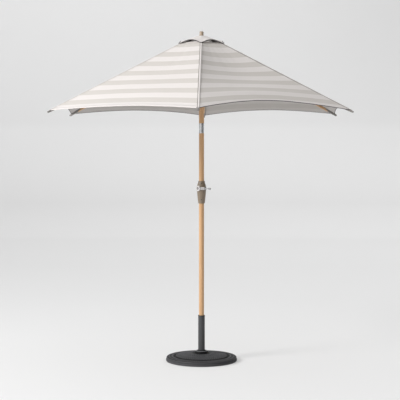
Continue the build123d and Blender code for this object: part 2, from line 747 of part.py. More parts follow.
def strut_solid(azimuth):
    """Flat bar from the rib bracket to the runner; the runner end's hole is the looser one on open pivots."""
    middle = ((bracket_pivot[0] + pivot_r) / 2, (bracket_pivot[1] + runner_z) / 2)
    angle = degrees(atan2(bracket_pivot[1] - runner_z, bracket_pivot[0] - pivot_r))
    with BuildPart() as part:
        with BuildSketch(half_plane(azimuth).offset(-tongue_w / 2)):
            with Locations(Location((middle[0], middle[1], 0), (0, 0, angle))):
                SlotCenterToCenter(strut_l, 14)
            with Locations(bracket_pivot):
                Circle(pin_hole_r, mode=Mode.SUBTRACT)
            with Locations(runner_pivot):
                Circle(pin_hole_r if azimuth == rib_azimuths[0] else open_hole_r, mode=Mode.SUBTRACT)
        extrude(amount=tongue_w)
    return part


def panel_solid(index):
    """The canopy's share on one rib: half a gore each side, joined along the rib's seam."""
    with BuildPart() as part:
        for side, gore in ((1, index), (-1, index - 1)):
            azimuth = rib_azimuths[index] - (60 if side < 0 else 0)
            origin = along(azimuth, 0, apex_z)
            middle = gore_plane(azimuth, (0.0, apex_z), down_rib(fabric_s1))
            plane = Plane(origin=origin, x_dir=middle.x_dir, z_dir=middle.z_dir)
            chord = fabric_s1 * cos(half_gore)
            reach = fabric_s1 * sin(half_gore)
            rise = hem_rises[gore]
            arc_r = (reach**2 + rise**2) / (2 * rise)

            def hem(y):
                return chord - (sqrt(arc_r**2 - y**2) - (arc_r - rise))

            rib_side, gap = -side, soft_gap / 2
            with BuildSketch(plane):
                with BuildLine():
                    inner = (fabric_s0 * cos(half_gore), rib_side * fabric_s0 * sin(half_gore))
                    outer = (chord, rib_side * reach)
                    ThreePointArc(outer, (hem(reach / 2), rib_side * reach / 2), (hem(gap), rib_side * gap))
                    Polyline((hem(gap), rib_side * gap), (inner[0], rib_side * gap), inner, outer)
                make_face()
            extrude(amount=-fabric_t)
    return part


nodes = {
    "base_feet": base_feet, "base_disc": base_disc, "base_tube": base_tube,
    "base_collar": base_collar, "tube_bolt": tube_bolt, "pole_inserts": pole_inserts,
    "clamp_pad": clamp_pad, "clamp_screw": clamp_screw, "clamp_knob": clamp_knob,
    "lower_pole": lower_pole, "middle_pole": middle_pole, "housing_front": housing_front,
    "housing_rear": housing_rear, "housing_screws": housing_screws,
    "shaft_bushings": shaft_bushings, "tilt_socket": tilt_socket, "tilt_pins": tilt_pins,
    "lift_cord_lower": lift_cord_lower, "tilt_button": tilt_button,
    "crank_spool": crank_spool, "cord_on_spool": cord_on_spool, "crank_arm": crank_arm,
    "knob_stem": knob_stem, "crank_knob": crank_knob,
    "tilt_head": tilt_head, "upper_pole": upper_pole, "top_hub": top_hub, "hub_pins": hub_pins,
    "vent_cap": vent_cap, "finial": finial, "pulley_axle": pulley_axle,
    "lift_cord_upper": lift_cord_upper, "pulley": pulley,
    "runner": runner_bored, "runner_pins": runner_pins, "lift_cord_run": lift_cord_run,
}
for i, azimuth in enumerate(rib_azimuths):
    nodes[f"rib_{i + 1}"] = rib_solid(azimuth)
    nodes[f"rib_fittings_{i + 1}"] = fittings_solid(azimuth)
    nodes[f"strut_{i + 1}"] = strut_solid(azimuth)
    nodes[f"canopy_panel_{i + 1}"] = panel_solid(i)

for name, builder in nodes.items():
    builder.part.label = name
    export_step(builder.part, f"parts/{name}.step")
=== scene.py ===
"""Looks of the patio umbrella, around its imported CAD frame. Metres, +Z up, front towards -Y."""

import json
from math import asin, atan, cos, exp, pi, radians, sin, sqrt, tan

import bmesh
import bpy
import numpy as np
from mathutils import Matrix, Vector, noise
from mathutils.bvhtree import BVHTree


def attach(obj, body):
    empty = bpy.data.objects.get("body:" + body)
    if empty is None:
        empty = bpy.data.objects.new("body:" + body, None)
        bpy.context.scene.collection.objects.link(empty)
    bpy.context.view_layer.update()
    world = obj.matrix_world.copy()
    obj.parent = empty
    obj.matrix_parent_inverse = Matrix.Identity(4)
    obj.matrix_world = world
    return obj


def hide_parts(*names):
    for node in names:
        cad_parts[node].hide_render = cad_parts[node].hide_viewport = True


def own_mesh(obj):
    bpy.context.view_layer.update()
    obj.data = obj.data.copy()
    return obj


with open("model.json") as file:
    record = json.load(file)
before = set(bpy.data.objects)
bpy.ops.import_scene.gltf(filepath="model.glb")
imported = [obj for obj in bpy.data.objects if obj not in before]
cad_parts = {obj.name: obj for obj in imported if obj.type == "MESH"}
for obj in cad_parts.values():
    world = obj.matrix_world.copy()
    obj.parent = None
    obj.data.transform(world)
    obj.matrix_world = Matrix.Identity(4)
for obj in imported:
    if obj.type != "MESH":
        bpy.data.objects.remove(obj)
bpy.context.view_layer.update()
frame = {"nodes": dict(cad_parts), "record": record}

# ---------------------------------------------------------------- the frame's own places
RIBS = 6
AZIMUTHS = [radians(-90 + 60 * i) for i in range(RIBS)]
APEX_Z = 2.434  # where the ridge lines meet on the pole axis
SLOPE = radians(25.92)
HALF_GORE = asin(cos(SLOPE) * 0.5)  # rib to mid-gore, in the cloth's plane
MID_SLOPE = atan(tan(SLOPE) / cos(radians(30)))
CLOTH_S0, CLOTH_S1 = 0.172, 1.335  # where the cloth starts and ends down a ridge line
HEM_RISE = [0.130, 0.045, 0.080, 0.075, 0.040, 0.049]  # gore i lies between ribs i and i + 1
SAG = [0.022, 0.006, 0.012, 0.012, 0.006, 0.006]
WHITE_HEM_GORE = 5  # its hem is lit, so it gets a white tape instead of the painted shade
TOP_DIP = [0.014, 0.004, 0.004, 0.004, 0.004, 0.004]  # how far the cloth's top edge dips between ribs
HEM_LIFT = [0.0, 0.014, 0.0, 0.0, 0.026, 0.0]  # how far the hem's middle stands off its ribs' plane
CLOTH_T = 0.0010
STRIP = 0.0124  # half width of the cloth that stays flat on its rib
RIDGE_COS, RIDGE_SIN = 0.9696, 0.2447  # of the angle between a gore's plane and its rib's
HEM_BAND = 0.018  # depth of the hem's fold
CRANK_AZIMUTH, CRANK_Z = radians(318), 1.287
DRAWN_IN = 0.72  # share of the hem's rise made by drawing the cloth in; the cut makes the rest
ARCH_START = 0.30  # distance down the mid-line where the cloth starts to be drawn in

scene = bpy.context.scene

# ---------------------------------------------------------------- studio settings
# painted light: the floor glows near the ground, which softens the shadows on it
FLOOR_GLOW = 0.30
# painted light and shade on the backdrop: its tone by distance back along the floor and up the wall, in
# metres
STAGE = [(-2.0, 0.55), (1.0, 0.57), (3.3, 0.54), (6.5, 0.52), (10.6, 0.53), (13.6, 0.61), (16.1, 0.92),
         (18.7, 0.92)]
# painted light and shade: share of tone added per metre to the right, by the same distance
STAGE_RIGHT = [(-2.0, 0.045), (3.3, 0.032), (10.6, 0.026), (13.3, 0.022), (16.4, 0.0), (18.7, -0.018)]
STAGE_SIDE = 4.0  # metres to either side, beyond which the tone no longer leans
LIGHTS = [
    ("key", (-7.5, -4.5, 5.2), (0, 0, 1.6), 3.5, 765),
    ("wall", (0, 7.5, 8.5), (0, 13.5, 2.0), 6.0, 110),
]
# brightness round the room, by degrees to the right of the front
ROOM = [(-180, 0.45), (-110, 0.25), (-78, 0.15), (-70, 0.75), (-6, 0.75), (0, 0.05), (60, 0.05), (75, 0.20),
        (95, 0.14), (130, 0.10), (180, 0.45)]
CEILING = 0.69


def u_vec(a):
    return np.array([cos(a), sin(a), 0.0])


def rib_axes(a):
    """Down the rib, and up off it, for the rib at azimuth a."""
    u, k = u_vec(a), np.array([0, 0, 1.0])
    return cos(SLOPE) * u - sin(SLOPE) * k, sin(SLOPE) * u + cos(SLOPE) * k


def rib_place(a, s, t=0.0, x=0.0):
    """A point s down the ridge line, t above it and x to its left seen from outside the pole."""
    e, n = rib_axes(a)
    return np.array([0, 0, APEX_Z]) + s * e + t * n + x * np.array([-sin(a), cos(a), 0])


# ---------------------------------------------------------------- mesh and material helpers
def new_mesh(name, verts, faces, material, floats=None, smooth=True):
    mesh = bpy.data.meshes.new(name)
    mesh.from_pydata([tuple(map(float, v)) for v in verts], [], faces)
    for key, values in (floats or {}).items():
        mesh.attributes.new(key, "FLOAT", "POINT").data.foreach_set(
            "value", np.array(values, np.float32)
        )
    mesh.materials.append(material)
    mesh.validate()
    bm = bmesh.new()
    bm.from_mesh(mesh)
    bmesh.ops.recalc_face_normals(bm, faces=bm.faces)
    bm.to_mesh(mesh)
    bm.free()
    mesh.polygons.foreach_set("use_smooth", [smooth] * len(mesh.polygons))
    mesh.set_sharp_from_angle(angle=radians(48))
    mesh.update()
    obj = bpy.data.objects.new(name, mesh)
    scene.collection.objects.link(obj)
    return obj


def grid_shell(name, top, bottom, material, floats):
    """Closed thin shell from two grids of points [row][column] with the same shape."""
    rows, cols = len(top), len(top[0])
    verts = [p for row in top for p in row] + [p for row in bottom for p in row]
    n = rows * cols
    faces = []
    for r in range(rows - 1):
        for c in range(cols - 1):
            a, b, d, e = r * cols + c, r * cols + c + 1, (r + 1) * cols + c, (r + 1) * cols + c + 1
            faces.append((a, d, e, b))
            faces.append((n + a, n + b, n + e, n + d))
    ring = (
        [(0, c) for c in range(cols - 1)]
        + [(r, cols - 1) for r in range(rows - 1)]
        + [(rows - 1, c) for c in range(cols - 1, 0, -1)]
        + [(r, 0) for r in range(rows - 1, 0, -1)]
    )
    for k, (r, c) in enumerate(ring):
        r2, c2 = ring[(k + 1) % len(ring)]
        a, b = r * cols + c, r2 * cols + c2
        faces.append((a, b, n + b, n + a))
    values = {k: list(v) * 2 for k, v in floats.items()}
    values["under"] = [0.0] * n + [1.0] * n
    return new_mesh(name, verts, faces, material, values)


def tube(name, path, radius, material, sides=10, squash=1.0, closed=False):
    """Round tube along points; squash flattens it across the local up direction."""
    pts = [np.array(p, float) for p in path]
    verts, faces = [], []
    side = None
    for i, p in enumerate(pts):
        a = pts[i - 1] if (i or closed) else pts[0]
        b = pts[(i + 1) % len(pts)] if (i + 1 < len(pts) or closed) else pts[-1]
        d = (b - a) / np.linalg.norm(b - a)
        guess = side if side is not None else (
            np.array([0, 0, 1.0]) if abs(d[2]) < 0.9 else np.array([1.0, 0, 0])
        )
        side = guess - d * np.dot(guess, d)
        side /= np.linalg.norm(side)
        other = np.cross(d, side)
        r = radius[i] if hasattr(radius, "__len__") else radius
        for k in range(sides):
            w = 2 * pi * k / sides
            verts.append(p + r * (squash * cos(w) * side + sin(w) * other))
    rings = len(pts)
    for i in range(rings if closed else rings - 1):
        j = (i + 1) % rings
        for k in range(sides):
            m = (k + 1) % sides
            faces.append((i * sides + k, i * sides + m, j * sides + m, j * sides + k))
    if not closed:
        faces.append(tuple(reversed(range(sides))))
        faces.append(tuple((rings - 1) * sides + k for k in range(sides)))
    return new_mesh(name, verts, faces, material)


class Nodes:
    """A material's node tree, with short calls."""

    def __init__(self, name, color, rough=0.6, **sockets):
        self.m = bpy.data.materials.new(name)
        self.m.use_nodes = True
        self.t = self.m.node_tree
        self.b = self.t.nodes["Principled BSDF"]
        self.b.inputs["Base Color"].default_value = (*color, 1)
        self.b.inputs["Roughness"].default_value = rough
        for key, value in sockets.items():
            self.b.inputs[key.replace("_", " ")].default_value = value
        self.coords = self.add("ShaderNodeTexCoord").outputs["Object"]

    def add(self, kind, **values):
        node = self.t.nodes.new(kind)
        for key, value in values.items():
            setattr(node, key, value)
        return node

    def link(self, a, b):
        self.t.links.new(a, b)

    def mapped(self, scale):
        node = self.add("ShaderNodeMapping")
        node.inputs["Scale"].default_value = scale
        self.link(self.coords, node.inputs["Vector"])
        return node.outputs[0]

    def noise(self, scale, detail=3.0, rough=0.55, vector=None, distortion=0.0):
        node = self.add("ShaderNodeTexNoise")
        node.inputs["Scale"].default_value = scale
        node.inputs["Detail"].default_value = detail
        node.inputs["Roughness"].default_value = rough
        node.inputs["Distortion"].default_value = distortion
        self.link(vector or self.coords, node.inputs["Vector"])
        return node.outputs["Fac"]

    def math(self, op, a, b=0.0, c=0.0):
        node = self.add("ShaderNodeMath", operation=op)
        for i, value in enumerate((a, b, c)):
            if isinstance(value, (int, float)):
                node.inputs[i].default_value = value
            else:
                self.link(value, node.inputs[i])
        return node.outputs[0]

    def attribute(self, name):
        return self.add("ShaderNodeAttribute", attribute_name=name).outputs["Fac"]

    def ramp(self, fac, stops):
        node = self.add("ShaderNodeValToRGB")
        ramp = node.color_ramp
        while len(ramp.elements) < len(stops):
            ramp.elements.new(0.5)
        for element, (at, color) in zip(ramp.elements, stops):
            element.position, element.color = at, (*color, 1)
        self.link(fac, node.inputs[0])
        return node.outputs[0]

    def mix(self, fac, a, b):
        node = self.add("ShaderNodeMix", data_type="RGBA")
        for socket, value in zip((node.inputs[0], node.inputs[6], node.inputs[7]), (fac, a, b)):
            if isinstance(value, (int, float)):
                socket.default_value = value
            elif isinstance(value, tuple):
                socket.default_value = (*value, 1)
            else:
                self.link(value, socket)
        return node.outputs[2]

    def bump(self, height, distance, strength=1.0, after=None):
        node = self.add("ShaderNodeBump")
        node.inputs["Strength"].default_value = strength
        node.inputs["Distance"].default_value = distance
        self.link(height, node.inputs["Height"])
        if after is not None:
            self.link(after, node.inputs["Normal"])
        return node.outputs[0]

    def color(self, value):
        self.link(value, self.b.inputs["Base Color"])

    def rough(self, value):
        self.link(value, self.b.inputs["Roughness"])

    def normal(self, value):
        self.link(value, self.b.inputs["Normal"])


# ---------------------------------------------------------------- materials
WHITE, GREIGE = (0.76, 0.72, 0.70), (0.615, 0.58, 0.545)
# painted shade: the darker tone of the cloth's underside
UNDERSIDE_SHADE = (0.31, 0.293, 0.277)
STRIPE_PERIOD, STRIPE_PHASE, GREIGE_SHARE = 0.1481, 0.0195, 0.49
THREAD_PITCH = 0.0016  # one wave of the weave
STITCH_PITCH, STITCH_IN = 0.007, 0.0155  # length of a stitch, and how far the row is from the edge


def cloth_material(name, striped):
    """Woven cloth with worn patches and topstitching, with or without the greige bands. Its underside is
    darkened as painted shade.
    """
    m = Nodes(name, WHITE, 0.85, Sheen_Weight=0.15, Sheen_Roughness=0.5, Specular_IOR_Level=0.25)
    weave_u = m.math("SINE", m.math("MULTIPLY", m.attribute("warp"), 2 * pi / THREAD_PITCH))
    weave_v = m.math("SINE", m.math("MULTIPLY", m.attribute("weft"), 2 * pi / THREAD_PITCH))
    weave = m.math("MULTIPLY", weave_u, weave_v)
    slub = m.noise(260.0, 4.0, 0.7)
    patch = m.noise(3.0, 3.0)
    if striped:
        phase = m.math("FRACT", m.math("DIVIDE", m.math("SUBTRACT", m.attribute("weft"), STRIPE_PHASE),
                                       STRIPE_PERIOD))
        edge = 0.008
        rise = m.add("ShaderNodeMapRange")
        rise.inputs["From Min"].default_value, rise.inputs["From Max"].default_value = 0.0, edge
        m.link(phase, rise.inputs["Value"])
        fall = m.add("ShaderNodeMapRange")
        fall.inputs["From Min"].default_value = GREIGE_SHARE
        fall.inputs["From Max"].default_value = GREIGE_SHARE + edge
        fall.inputs["To Min"].default_value, fall.inputs["To Max"].default_value = 1.0, 0.0
        m.link(phase, fall.inputs["Value"])
        band = m.math("MULTIPLY", rise.outputs[0], fall.outputs[0])
        base = m.mix(band, WHITE, GREIGE)
    else:
        base = WHITE
    tint = m.math("MULTIPLY_ADD", patch, 0.10, m.math("MULTIPLY", slub, 0.10))
    worn = m.mix(tint, base, (0.42, 0.385, 0.35))
    # painted shade: the cloth's underside is mixed towards a darker tone
    m.color(m.mix(m.math("MULTIPLY", m.attribute("under"), 0.62), worn, UNDERSIDE_SHADE))
    # topstitching beside the seams and the hem: short dashes on a slight dip
    along = m.math("SINE", m.math("MULTIPLY", m.attribute("along"), 2 * pi / STITCH_PITCH))
    dash = m.math("GREATER_THAN", along, -0.3)
    off_row = m.math("ABSOLUTE", m.math("SUBTRACT", m.attribute("edge"), STITCH_IN))
    near = m.math("LESS_THAN", off_row, 0.0008)
    stitch = m.math("MULTIPLY", near, dash)
    fine = m.bump(m.math("MULTIPLY_ADD", slub, 0.5, m.math("MULTIPLY", weave, 0.25)), 0.0003, 0.6)
    m.normal(m.bump(stitch, 0.0007, 0.8, after=fine))
    return m.m


def across_axis(m, scale, centre=(0, 0, 0)):
    """Distance from a line through centre, with object coordinates first multiplied by scale."""
    moved = m.add("ShaderNodeVectorMath", operation="SUBTRACT")
    m.link(m.coords, moved.inputs[0])
    moved.inputs[1].default_value = centre
    flat = m.add("ShaderNodeVectorMath", operation="MULTIPLY")
    m.link(moved.outputs[0], flat.inputs[0])
    flat.inputs[1].default_value = scale
    length = m.add("ShaderNodeVectorMath", operation="LENGTH")
    m.link(flat.outputs[0], length.inputs[0])
    return length.outputs["Value"]


def wood_material(name, light, dark, axis_scale, coat, shaded_hub_end=False):
    """Printed wood grain, drawn out along the axis whose scale is small."""
    m = Nodes(name, light, 0.42, Coat_Weight=coat, Coat_Roughness=0.25)
    long_grain = m.noise(1.0, 5.0, 0.6, m.mapped(axis_scale), 0.6)
    fine = m.noise(1.0, 3.0, 0.7, m.mapped(tuple(4.5 * v for v in axis_scale)))
    mix = m.math("MULTIPLY_ADD", fine, 0.35, m.math("MULTIPLY", long_grain, 0.75))
    between = tuple((a + b) / 2 for a, b in zip(light, dark))
    grain = m.ramp(mix, [(0.30, dark), (0.48, between), (0.66, light)])
    if shaded_hub_end:  # painted shade: the rib's end by the hub is darkened for the shade round the hub
        hub_shade_mask = m.math("LESS_THAN", across_axis(m, (1, 1, 0)), 0.19)
        grain = m.mix(hub_shade_mask, grain, (0.045, 0.04, 0.036))
    m.color(grain)
    m.rough(m.math("MULTIPLY_ADD", fine, 0.18, 0.32))
    m.normal(m.bump(mix, 0.0004, 0.35))
    return m.m


def plastic_material(name, color, rough, grain, depth, **sockets):
    """Matt or glossy plastic, paint, rubber or tape with a fine grain of the given depth."""
    m = Nodes(name, color, rough, **sockets)
    fine = m.noise(grain, 3.0, 0.65)
    cloud = m.noise(14.0, 3.0)
    m.color(m.mix(m.math("MULTIPLY", cloud, 0.5), color, tuple(0.78 * c for c in color)))
    m.rough(m.math("MULTIPLY_ADD", fine, 0.2, rough - 0.1))
    m.normal(m.bump(fine, depth, 0.5))
    return m.m


def metal_material(name, color, rough, stretch=(60.0, 60.0, 60.0), depth=0.00005):
    """Bare metal whose fine marks run the way that stretch sets."""
    m = Nodes(name, color, rough, Metallic=1.0)
    fine = m.noise(1.0, 3.0, 0.6, m.mapped(stretch))
    m.rough(m.math("MULTIPLY_ADD", fine, 0.18, rough - 0.06))
    m.normal(m.bump(fine, depth, 0.4))
    return m.m


def ringed_resin(name, rings, rough=0.60):
    """Cast resin whose tone follows the distance from the pole: painted shade in the grooves, painted
    highlights on the edges.
    """
    m = Nodes(name, (0.03, 0.03, 0.032), rough, Specular_IOR_Level=0.12)
    fine = m.noise(420.0, 3.0, 0.65)
    outer = 0.27  # just beyond the base's rim
    radius = m.math("DIVIDE", across_axis(m, (1, 1, 0)), outer)
    tone = m.ramp(radius, [(at / outer, (v, v, 1.05 * v)) for at, v in rings])
    m.color(m.mix(m.math("MULTIPLY", m.noise(30.0, 3.0), 0.4), tone, (0.024, 0.024, 0.026)))
    m.rough(m.math("MULTIPLY_ADD", fine, 0.2, rough - 0.1))
    m.normal(m.bump(fine, 0.0004, 0.5))
    return m.m


def crank_material():
    """Light hub with a painted highlight on its rim and painted shade in its recessed middle and round its
    face, grey arm with a dark pivot at its end.
    """
    m = Nodes("crank_plastic", (0.6, 0.6, 0.6), 0.30)
    arm = (cos(CRANK_AZIMUTH), sin(CRANK_AZIMUTH), 0)
    along = m.add("ShaderNodeVectorMath", operation="DOT_PRODUCT")
    m.link(m.coords, along.inputs[0])
    along.inputs[1].default_value = arm
    up = m.add("ShaderNodeSeparateXYZ")
    m.link(m.coords, up.inputs[0])
    rise = m.math("SUBTRACT", up.outputs["Z"], CRANK_Z)
    run = along.outputs["Value"]
    out = m.math("SQRT", m.math("ADD", m.math("MULTIPLY", run, run), m.math("MULTIPLY", rise, rise)))
    light, grey, shade = (0.74, 0.72, 0.71), (0.40, 0.385, 0.375), (0.12, 0.115, 0.11)
    reach = 0.1  # the ramp's last distance from the crank's axle
    # painted light: the dark middle is painted shade in the hub's recess, the light ring is the hub's light
    # plastic with a painted highlight on its rim, and the first shade band is painted shade where the arm
    # leaves the hub
    m.color(m.ramp(m.math("DIVIDE", out, reach), [
        (0.0, (0.22, 0.20, 0.20)), (0.095, (0.25, 0.23, 0.23)), (0.11, light), (0.205, light),
        (0.215, shade), (0.26, shade), (0.30, grey), (0.68, grey), (0.71, shade)]))
    fine = m.noise(600.0, 3.0, 0.65)
    m.rough(m.math("MULTIPLY_ADD", fine, 0.2, 0.22))
    m.normal(m.bump(fine, 0.00005, 0.5))
    return m.m


cloth_striped = cloth_material("canopy_cloth", True)
cloth_plain = cloth_material("vent_cloth", False)
pole_wood = wood_material("pole_grain", (0.66, 0.40, 0.205), (0.50, 0.275, 0.125), (48, 48, 2.2), 0.35)
rib_wood = wood_material("rib_grain_1", (0.62, 0.40, 0.22), (0.42, 0.24, 0.115), (16, 16, 16), 0.25, True)
chrome = metal_material("polished_chrome", (0.80, 0.80, 0.81), 0.10)
steel = metal_material("zinc_steel", (0.56, 0.56, 0.57), 0.32, depth=0.0001)
housing = plastic_material("housing_plastic", (0.25, 0.195, 0.14), 0.34, 900.0, 0.00012)
knob_grey = plastic_material("knob_plastic", (0.42, 0.42, 0.43), 0.45, 700.0, 0.0001)
# painted light on the base: the darkest rings are painted shade in the grooves and round the dome's step, the
# lightest are painted highlights on the edges beside them and on the rim
resin = ringed_resin("base_resin", [
    (0.050, 0.004), (0.062, 0.016), (0.182, 0.016), (0.187, 0.045), (0.190, 0.003), (0.208, 0.003),
    (0.211, 0.050), (0.222, 0.016), (0.243, 0.016), (0.246, 0.005), (0.253, 0.005), (0.257, 0.080)])
# painted light on the collar: the light ring is a painted highlight, the dark rings on either side are
# painted shade
collar_resin = ringed_resin("collar_resin", [
    (0.025, 0.006), (0.0345, 0.006), (0.037, 0.240), (0.0445, 0.220), (0.0465, 0.008)], 0.5)
stud_resin = plastic_material("stud_resin", (0.085, 0.085, 0.092), 0.50, 420.0, 0.0003)
crank_grey = crank_material()
coat = plastic_material("base_coat", (0.066, 0.067, 0.070), 0.42, 1100.0, 0.00012, Specular_IOR_Level=0.4)
# painted shade: dark metal for the housing's screws, standing in for the shade in their recesses
screw_recess_shade = metal_material("screw_recess_shade_metal", (0.10, 0.095, 0.09), 0.45, depth=0.0001)
# a dark tape along the hems: on the canopy it is painted shade standing in for the shadowed fold of the hem;
# round the vent it is the vent's dark hem tape
hem_tape_and_shade = plastic_material("dark_hem_tape_and_shade", (0.095, 0.088, 0.092), 0.85, 1500.0, 0.0002, Sheen_Weight=0.2)
# painted shade: a dark cord beside each seam's piping stands in for the shadow its ridge casts
seam_shadow_paint = plastic_material("seam_shadow_line", (0.16, 0.145, 0.13), 0.85, 1800.0, 0.0002)
pocket_cloth = plastic_material("pocket_cloth", (0.24, 0.225, 0.21), 0.85, 1400.0, 0.0003, Sheen_Weight=0.2)
nylon = plastic_material("dark_nylon", (0.028, 0.028, 0.030), 0.48, 800.0, 0.0001)
rubber = plastic_material("pad_rubber", (0.022, 0.022, 0.022), 0.75, 500.0, 0.0002)
fitting = plastic_material("fitting_paint", (0.30, 0.285, 0.27), 0.40, 900.0, 0.00008)
finial_mat = plastic_material("finial_plastic", (0.40, 0.31, 0.225), 0.42, 700.0, 0.0001)


def cord_material():
    """Light braid with diagonal bands."""
    m = Nodes("braided_cord", (0.70, 0.69, 0.65), 0.8)
    braid = m.add("ShaderNodeTexWave", wave_type="BANDS", bands_direction="DIAGONAL")
    braid.inputs["Scale"].default_value = 240.0
    m.link(m.coords, braid.inputs["Vector"])
    m.color(m.mix(braid.outputs["Fac"], (0.52, 0.51, 0.47), (0.74, 0.73, 0.69)))
    m.normal(m.bump(braid.outputs["Fac"], 0.0004, 0.7))
    return m.m


cord_mat = cord_material()
by_slot = {
    "rubber": rubber, "base_resin": resin, "base_metal": coat, "dark_plastic": nylon,
    "pole_finish": pole_wood, "rib_wood": rib_wood, "chrome": chrome,
    "housing_plastic": housing, "crank_plastic": crank_grey, "knob_plastic": knob_grey,
    "steel": steel, "fitting_grey": fitting, "finial_taupe": finial_mat,
    "canopy_fabric": cloth_striped, "cord": cord_mat,
}
for part in frame["record"]["subparts"]:
    node = frame["nodes"][part["node"]]
    node.data.materials.clear()
    node.data.materials.append(by_slot[part["material_slot"]])
# painted shade: the housing's screws get the darkened metal for the shade in their recesses; the collar gets
# its painted light rings
for node, paint in (("housing_screws", screw_recess_shade), ("base_collar", collar_resin)):
    frame["nodes"][node].data.materials[0] = paint

# ---------------------------------------------------------------- canopy
MID_S0, MID_S1 = CLOTH_S0 * cos(HALF_GORE), CLOTH_S1 * cos(HALF_GORE)


def arch(d):
    """Share of the hem's rise by which the cloth is drawn in at mid-line distance d."""
    return DRAWN_IN * max(0.0, (d - ARCH_START) / (MID_S1 - ARCH_START)) ** 2.2


def gore_point(gore, d, theta, lift=0.0):
    """A point of gore's cloth. d is the flat distance down the mid-line, theta the signed angle from
    it about the apex, positive towards the next rib. Also gives the cloth's plane normal."""
    am = AZIMUTHS[gore % RIBS] + radians(30)
    x = cos(MID_SLOPE) * u_vec(am) - np.array([0, 0, sin(MID_SLOPE)])
    y = np.array([-sin(am), cos(am), 0])
    n = sin(MID_SLOPE) * u_vec(am) + np.array([0, 0, cos(MID_SLOPE)])
    tau = tan(theta) / tan(HALF_GORE)
    bow = 1 - tau * tau
    rho = d / cos(theta) - HEM_RISE[gore % RIBS] * arch(d) * bow
    sag = SAG[gore % RIBS] * sin(pi * min(1.0, max(0.0, (d - 0.15) / 0.85))) * bow
    sag -= HEM_LIFT[gore % RIBS] * max(0.0, (d - ARCH_START) / (MID_S1 - ARCH_START)) ** 2 * bow
    ripple = 0.0016 * bow * noise.noise(Vector((d * 2.2, theta * 9.0, gore * 7.3)))
    up = lift - sag + ripple
    return np.array([0, 0, APEX_Z]) + rho * (cos(theta) * x + sin(theta) * y) + up * n, n


def hem_d(gore, theta):
    """Mid-line distance of the hem's cut at theta. The cut makes only the part of the hem's rise that
    drawing the cloth in leaves over."""
    tau = tan(theta) / tan(HALF_GORE)
    return MID_S1 - (1 - DRAWN_IN) * HEM_RISE[gore % RIBS] * (1 - tau * tau)


def canopy_piece(name, columns):
    """One shell of cloth. columns lists (gore, theta_of, across, drop): theta_of(d) is the column's angle
    at distance d, across sets how far it is from the seam, drop how far the cloth is lowered there."""
    top, bottom = [], []
    floats = {"weft": [], "warp": [], "edge": [], "along": []}
    rows = 56
    for j in range(rows + 4):
        row_top, row_bottom = [], []
        for gore, theta_of, across, drop in columns:
            # the row's distance depends on the column's own hem
            theta = theta_of(0.7)
            end = hem_d(gore, theta)
            start = MID_S0 + TOP_DIP[gore] * (1 - (tan(theta) / tan(HALF_GORE)) ** 2)
            if j < rows:
                d = start + (end - HEM_BAND - start) * j / (rows - 1)
                thick = 0.0
            else:
                d = end - HEM_BAND + HEM_BAND * (j - rows) / 3 + (0.0006 if j == rows else 0)
                thick = 0.0006
            theta = theta_of(d)
            p, n = gore_point(gore, d, theta, thick - drop)
            row_top.append(p)
            row_bottom.append(p - n * (CLOTH_T + 2 * thick))
            floats["weft"].append(d)
            floats["warp"].append(d * tan(theta))
            hem_gap = end - d
            floats["edge"].append(min(hem_gap, across))
            floats["along"].append(d * tan(theta) if hem_gap < across else d)
        top.append(row_top)
        bottom.append(row_bottom)
    shell = grid_shell(name, top, bottom, cloth_striped, floats)
    below = np.array([0, 0, 0.0009])
    hem = [(np.array(a) + np.array(b)) / 2 - below for a, b in zip(top[-1], bottom[-1])]
    # painted shade: a dark tape under the hem stands in for the hem's shadowed fold; the lit gore's hem gets
    # a white one
    lit_gore = columns[0][0] == columns[-1][0] == WHITE_HEM_GORE
    add_binding(shell, hem, 0.0024, cloth_plain if lit_gore else hem_tape_and_shade)
    return shell


def add_binding(shell, path, radius, material, closed=False):
    """Tape rolled round an edge, in the shell's own mesh as its second material."""
    tape = tube("tape", path, radius, material, 8, closed=closed)
    before = len(shell.data.polygons)
    bm = bmesh.new()
    bm.from_mesh(shell.data)
    bm.from_mesh(tape.data)
    bm.faces.ensure_lookup_table()
    for face in bm.faces[before:]:
        face.material_index = 1
    shell.data.materials.append(material)
    bm.to_mesh(shell.data)
    bm.free()
    bpy.data.objects.remove(tape)


def edge_theta(across):
    """theta, as a function of d, of a line that runs across from the ridge line and parallel to it."""
    return lambda d: HALF_GORE - asin(min(0.9, across * cos(HALF_GORE) / d))


def half_columns(rib, side, count=16):
    """Columns from the rib's strip to the gore's mid-line; side is 1 for the gore after the rib."""
    gore = (rib if side > 0 else rib - 1) % RIBS
    result = []
    for k in range(count + 1):
        share = k / count

        def theta_of(d, share=share):
            return -side * edge_theta(STRIP)(d) * (1 - share)

        result.append((gore, theta_of, STRIP + share, 0.0))
    return result


def ridge_drop(across, soft=0.004):
    """The ridge is rounded: how far the cloth lies below the sharp fold of its two planes."""
    far = sqrt(STRIP**2 + soft**2)
    return max(0.0, RIDGE_SIN * (sqrt(across**2 + soft**2) - across) - RIDGE_SIN * (far - STRIP))


def strip_columns(rib):
    """Columns of the narrow strip that lies on the rib, from one side of the ridge to the other."""
    result = []
    for w in (-1.0, -0.75, -0.5, -0.25, -0.08, 0.08, 0.25, 0.5, 0.75, 1.0):
        side = 1 if w > 0 else -1
        across = abs(w) * STRIP
        gore = (rib if side > 0 else rib - 1) % RIBS

        def theta_of(d, across=across, side=side):
            return -side * edge_theta(across)(d)

        result.append((gore, theta_of, across, ridge_drop(across)))
    return result


LENGTH, WIDTH = CLOTH_S1 - CLOTH_S0, CLOTH_S1 * sin(HALF_GORE)  # of the trapezium a half is cut from
SEAM_STEPS = 60


